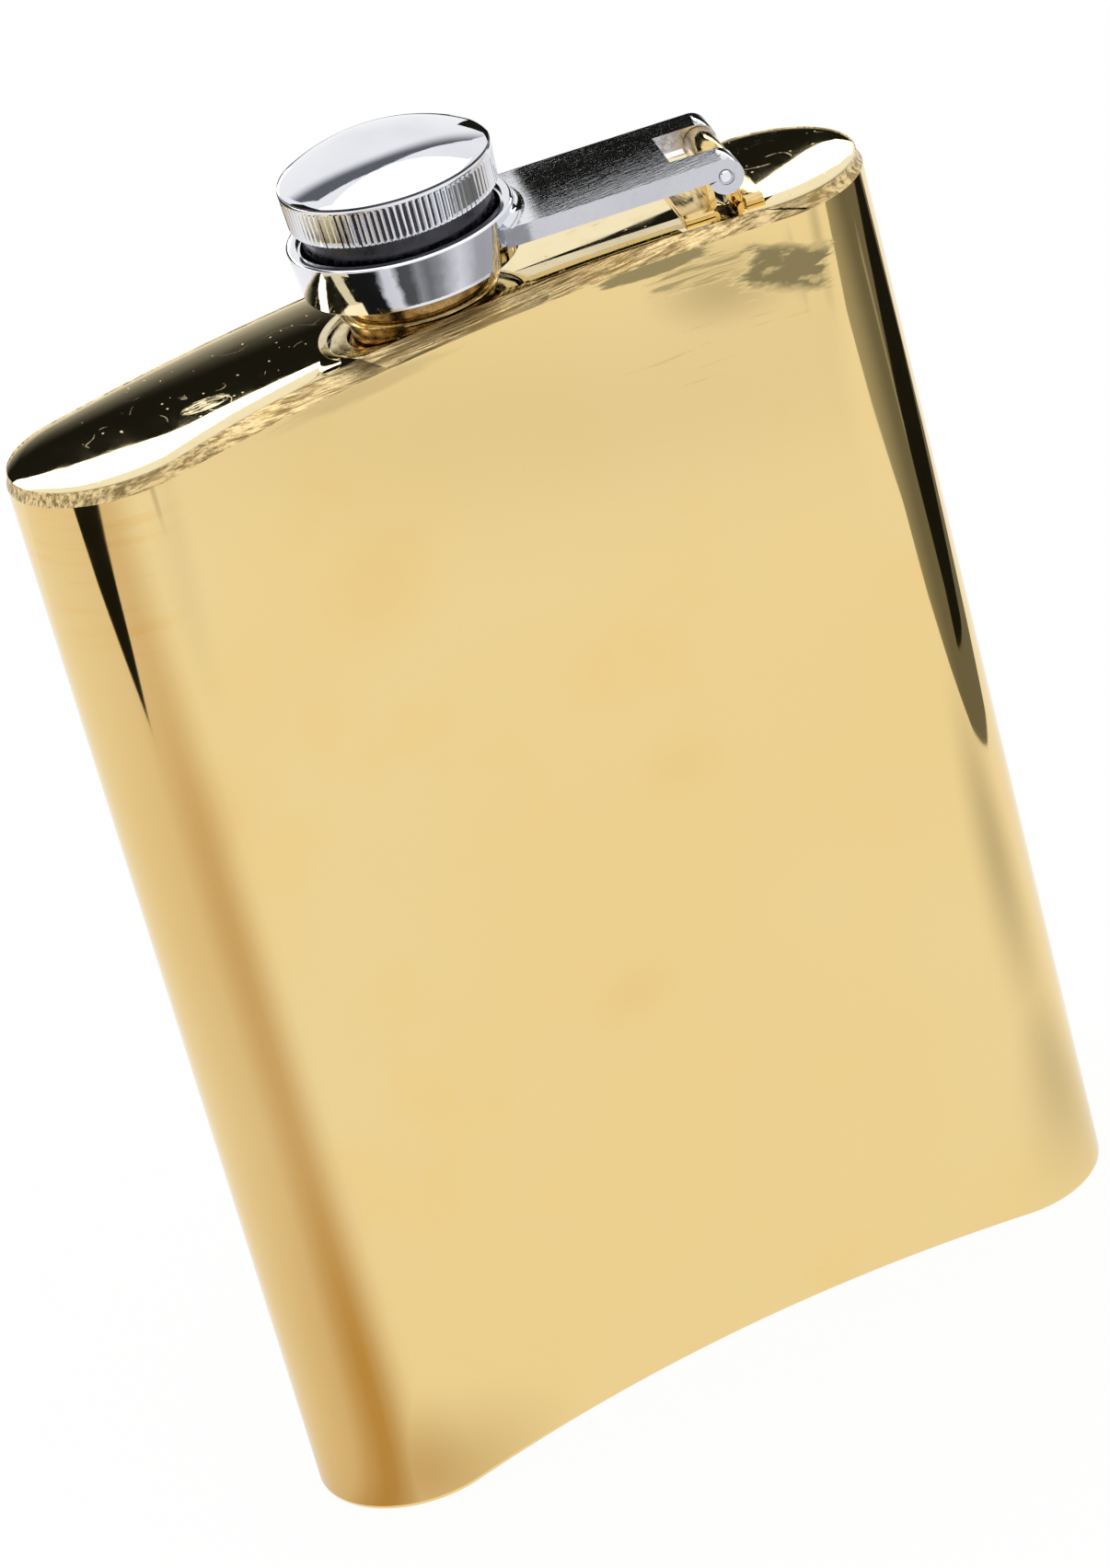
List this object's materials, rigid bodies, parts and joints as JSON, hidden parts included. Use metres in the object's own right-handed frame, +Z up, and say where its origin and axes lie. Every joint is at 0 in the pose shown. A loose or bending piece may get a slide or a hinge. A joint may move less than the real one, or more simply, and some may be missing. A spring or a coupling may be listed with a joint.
{
  "type": "hip flask",
  "caption": "Kidney-section metal hip flask with polished gold body and a knurled chrome screw cap held captive in a ring on a hinged arm.",
  "frame": {"origin": "middle of the flat base, on the surface the flask stands on", "axes": "+Z up along the height, +X towards the hinge of the cap's arm, -Y out of the hollowed side that lies against the body"},
  "size_m": [0.095, 0.0272, 0.1395],
  "materials": {
    "gold_body": "stainless steel, gold coated and mirror polished, welds ground",
    "cap_chrome": "bright chrome plate on die-cast zinc and steel",
    "pin_steel": "plain turned steel",
    "seal_rubber": "pale food-grade silicone"
  },
  "bodies": {
    "flask": {"body_shell": "gold_body", "base_plate": "gold_body", "base_weld": "gold_body", "top_plate": "gold_body", "top_weld": "gold_body", "neck": "gold_body", "neck_weld": "gold_body", "hinge_bracket": "gold_body", "hinge_pin": "pin_steel"},
    "arm": {"cap_arm": "cap_chrome"},
    "cap_carrier": {"retaining_washer": "cap_chrome"},
    "cap": {"cap_insert": "cap_chrome", "cap_shell": "cap_chrome", "sealing_gasket": "seal_rubber"}
  },
  "joints": [
    {"name": "arm_hinge", "type": "hinge", "parent": "flask", "child": "arm", "pos_m": [0.03124, -0.00473, 0.1266], "axis": [0.2164, 0.9763, 0], "range_deg": [0, 180]},
    {"name": "cap_rise", "type": "slide", "parent": "arm", "child": "cap_carrier", "axis": [0, 0, 1], "range_m": [-0.002, 0]},
    {"name": "cap_turn", "type": "hinge", "parent": "cap_carrier", "child": "cap", "pos_m": [0, 0.0022, 0.132], "axis": [0, 0, 1], "range_deg": [-480, 0]}
  ],
  "couplings": [
    {"joint": "cap_turn", "follows": "cap_rise", "rad_per_m": 4188.8}
  ]
}
